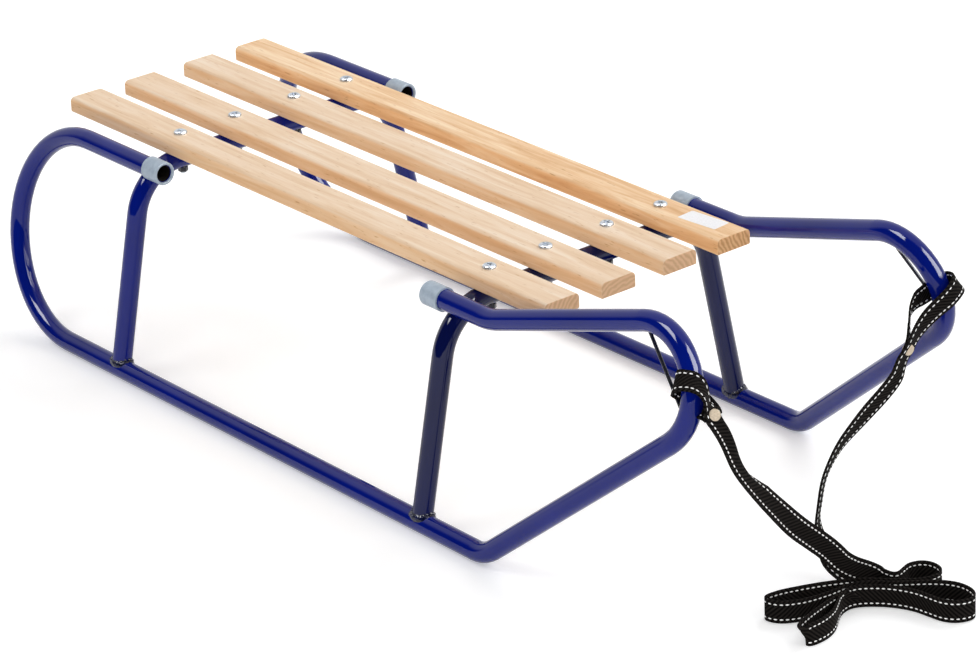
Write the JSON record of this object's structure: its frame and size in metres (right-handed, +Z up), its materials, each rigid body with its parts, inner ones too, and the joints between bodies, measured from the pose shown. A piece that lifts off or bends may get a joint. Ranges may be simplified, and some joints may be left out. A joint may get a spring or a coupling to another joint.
{
  "type": "metal sled",
  "caption": "Low child's sled of bent blue steel tube with lengthwise wooden slats, open upturned noses and a webbing tow strap.",
  "frame": {"origin": "on the ground, under the middle of the rigid sled's box", "axes": "+X towards the upturned noses, +Y to the sled's left, +Z up"},
  "size_m": [1.0476, 0.374, 0.2592],
  "materials": {
    "frame_blue": "gloss cobalt blue powder coat",
    "keeper_steel": "dark painted rod",
    "slat_wood": "pale beech, clear satin varnish",
    "zinc": "bright zinc plate",
    "cap_grey": "blue-grey moulded plastic",
    "webbing": "black webbing with white edge stitching",
    "rivet_steel": "bright nickel"
  },
  "bodies": {
    "root": {"runner_right": "frame_blue", "runner_left": "frame_blue", "arch_rear": "frame_blue", "arch_front": "frame_blue", "strap_keeper_right": "keeper_steel", "strap_keeper_left": "keeper_steel", "slat_1": "slat_wood", "slat_2": "slat_wood", "slat_3": "slat_wood", "slat_4": "slat_wood", "screw_rear_1": "zinc", "screw_rear_2": "zinc", "screw_rear_3": "zinc", "screw_rear_4": "zinc", "screw_front_1": "zinc", "screw_front_2": "zinc", "screw_front_3": "zinc", "screw_front_4": "zinc", "nut_rear_1": "zinc", "nut_rear_2": "zinc", "nut_rear_3": "zinc", "nut_rear_4": "zinc", "nut_front_1": "zinc", "nut_front_2": "zinc", "nut_front_3": "zinc", "nut_front_4": "zinc", "cap_rear_right": "cap_grey", "cap_front_right": "cap_grey", "cap_rear_left": "cap_grey", "cap_front_left": "cap_grey", "strap_loop_right": "webbing", "strap_loop_left": "webbing", "strap_hank": "webbing", "strap_right": "webbing", "strap_left": "webbing", "strap_rivet_right": "rivet_steel", "strap_rivet_left": "rivet_steel"}
  },
  "joints": []
}
